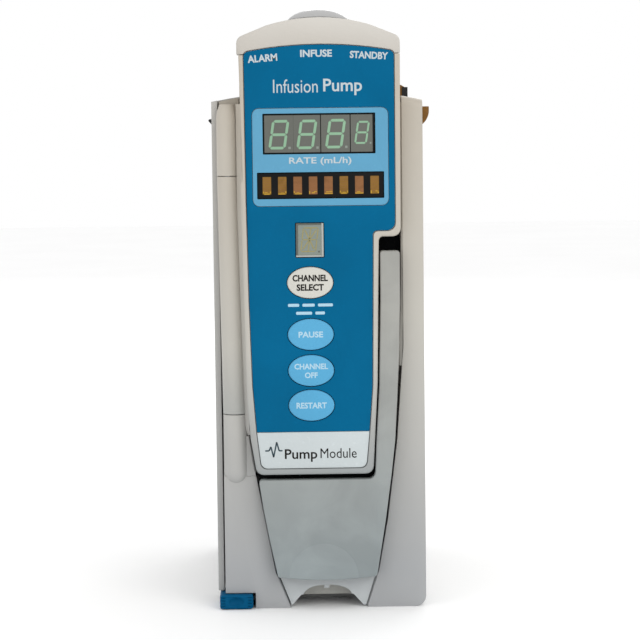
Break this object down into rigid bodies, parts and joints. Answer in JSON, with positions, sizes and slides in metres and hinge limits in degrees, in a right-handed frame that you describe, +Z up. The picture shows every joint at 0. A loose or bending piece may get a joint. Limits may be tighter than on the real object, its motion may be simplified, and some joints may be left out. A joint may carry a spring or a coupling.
{
  "type": "infusion pump module",
  "caption": "Upright single-channel infusion pump module with a hinged front door, door handle, keypad, displays and an internal peristaltic finger mechanism.",
  "frame": {"origin": "on the plane the module stands on, on the centre line of its case, at mid depth", "axes": "+Z up, -Y out of the front of the door, +X to the user's right"},
  "size_m": [0.0852, 0.1402, 0.226],
  "materials": {
    "case_beige": "fine textured warm ivory plastic",
    "case_grey": "fine textured pale grey plastic",
    "handle_grey": "satin grey plastic",
    "panel_blue": "printed polyester film, satin",
    "light_blue": "printed polyester film, satin",
    "latch_blue": "satin blue plastic",
    "key_blue": "satin key caps",
    "key_white": "satin key cap",
    "plate_white": "printed polyester film, satin",
    "lens_white": "translucent diffuser",
    "dome_grey": "clear smoke grey lens",
    "screen_grey": "display filter",
    "screen_black": "display filter",
    "window_grey": "display filter",
    "amber": "amber engineering plastic",
    "black_plastic": "moulded black plastic",
    "steel": "turned or drawn steel",
    "aluminium": "machined",
    "brass": "machined",
    "silicone": "soft silicone sheet",
    "inner_white": "moulded inner parts",
    "board_green": "printed circuit board"
  },
  "bodies": {
    "case": {"front_case": "case_beige", "rear_case": "case_grey", "hinge_pin": "steel", "left_connector": "black_plastic", "right_connector": "black_plastic", "right_connector_hook": "amber", "connector_tab": "amber", "mechanism_frame": "aluminium", "camshaft_bearing_lower": "steel", "camshaft_bearing_upper": "steel", "motor": "aluminium", "membrane_seal": "silicone", "air_sensor": "black_plastic", "clamp_receptacle": "latch_blue", "upper_fitment_receptacle": "inner_white", "lower_pressure_sensor": "steel", "upper_pressure_sensor": "steel", "latch_striker": "steel", "logic_board": "board_green", "power_board": "board_green", "release_latch_spring": "steel", "case_screw_1": "steel", "case_screw_2": "steel", "case_screw_3": "steel", "case_screw_4": "steel"},
    "door": {"door_shell": "case_beige", "door_backplate": "inner_white", "status_lens": "lens_white", "status_dome": "dome_grey", "keypad_overlay": "panel_blue", "display_surround": "light_blue", "name_plate": "plate_white", "rate_display": "screen_grey", "message_display": "screen_black", "channel_display": "window_grey", "display_board": "board_green", "handle_pin": "steel", "platen_spring_lower": "steel", "platen_spring_upper": "steel"},
    "platen": {"platen": "aluminium"},
    "handle": {"handle": "handle_grey", "latch_hook": "steel"},
    "release_latch": {"release_latch": "latch_blue"},
    "camshaft": {"camshaft": "steel", "camshaft_gear": "inner_white"},
    "motor_pinion": {"motor_pinion": "brass"},
    "key_select": {"key_select": "key_white"},
    "key_pause": {"key_pause": "key_blue"},
    "key_off": {"key_off": "key_blue"},
    "key_restart": {"key_restart": "key_blue"},
    "pumping_finger_1": {"pumping_finger_1": "inner_white"},
    "pumping_finger_2": {"pumping_finger_2": "inner_white"},
    "pumping_finger_3": {"pumping_finger_3": "inner_white"},
    "pumping_finger_4": {"pumping_finger_4": "inner_white"},
    "pumping_finger_5": {"pumping_finger_5": "inner_white"},
    "pumping_finger_6": {"pumping_finger_6": "inner_white"},
    "pumping_finger_7": {"pumping_finger_7": "inner_white"},
    "pumping_finger_8": {"pumping_finger_8": "inner_white"}
  },
  "joints": [
    {"name": "door_hinge", "type": "hinge", "parent": "case", "child": "door", "pos_m": [-0.034, -0.061, 0.12], "axis": [0, 0, -1], "range_deg": [0, 110]},
    {"name": "handle_pivot", "type": "hinge", "parent": "door", "child": "handle", "pos_m": [0.026, -0.0616, 0.1315], "axis": [-1, 0, 0], "range_deg": [0, 85]},
    {"name": "platen_slide", "type": "slide", "parent": "door", "child": "platen", "axis": [0, -1, 0], "range_m": [0, 0.0008], "stiffness_N_per_m": 2000, "deforming": ["platen_spring_lower", "platen_spring_upper"]},
    {"name": "release_latch_slide", "type": "slide", "parent": "case", "child": "release_latch", "axis": [0, 1, 0], "range_m": [0, 0.0025], "stiffness_N_per_m": 300, "deforming": ["release_latch_spring"]},
    {"name": "camshaft_spin", "type": "hinge", "parent": "case", "child": "camshaft", "pos_m": [0.0016, -0.0265, 0.115], "axis": [0, 0, 1], "continuous": true},
    {"name": "motor_spin", "type": "hinge", "parent": "case", "child": "motor_pinion", "pos_m": [0.0016, -0.0121, 0.077], "axis": [0, 0, 1], "continuous": true},
    {"name": "key_select_press", "type": "slide", "parent": "door", "child": "key_select", "axis": [0, 1, 0], "range_m": [0, 0.0007], "stiffness_N_per_m": 300},
    {"name": "key_pause_press", "type": "slide", "parent": "door", "child": "key_pause", "axis": [0, 1, 0], "range_m": [0, 0.0007], "stiffness_N_per_m": 300},
    {"name": "key_off_press", "type": "slide", "parent": "door", "child": "key_off", "axis": [0, 1, 0], "range_m": [0, 0.0007], "stiffness_N_per_m": 300},
    {"name": "key_restart_press", "type": "slide", "parent": "door", "child": "key_restart", "axis": [0, 1, 0], "range_m": [0, 0.0007], "stiffness_N_per_m": 300},
    {"name": "finger_1_stroke", "type": "slide", "parent": "case", "child": "pumping_finger_1", "axis": [0, -1, 0], "range_m": [0, 0.0019]},
    {"name": "finger_2_stroke", "type": "slide", "parent": "case", "child": "pumping_finger_2", "axis": [0, -1, 0], "range_m": [0, 0.0019]},
    {"name": "finger_3_stroke", "type": "slide", "parent": "case", "child": "pumping_finger_3", "axis": [0, -1, 0], "range_m": [0, 0.0019]},
    {"name": "finger_4_stroke", "type": "slide", "parent": "case", "child": "pumping_finger_4", "axis": [0, -1, 0], "range_m": [0, 0.0019]},
    {"name": "finger_5_stroke", "type": "slide", "parent": "case", "child": "pumping_finger_5", "axis": [0, -1, 0], "range_m": [0, 0.0019]},
    {"name": "finger_6_stroke", "type": "slide", "parent": "case", "child": "pumping_finger_6", "axis": [0, -1, 0], "range_m": [0, 0.0019]},
    {"name": "finger_7_stroke", "type": "slide", "parent": "case", "child": "pumping_finger_7", "axis": [0, -1, 0], "range_m": [0, 0.0019]},
    {"name": "finger_8_stroke", "type": "slide", "parent": "case", "child": "pumping_finger_8", "axis": [0, -1, 0], "range_m": [0, 0.0019]}
  ],
  "couplings": [
    {"joint": "motor_spin", "follows": "camshaft_spin", "ratio": -3}
  ]
}
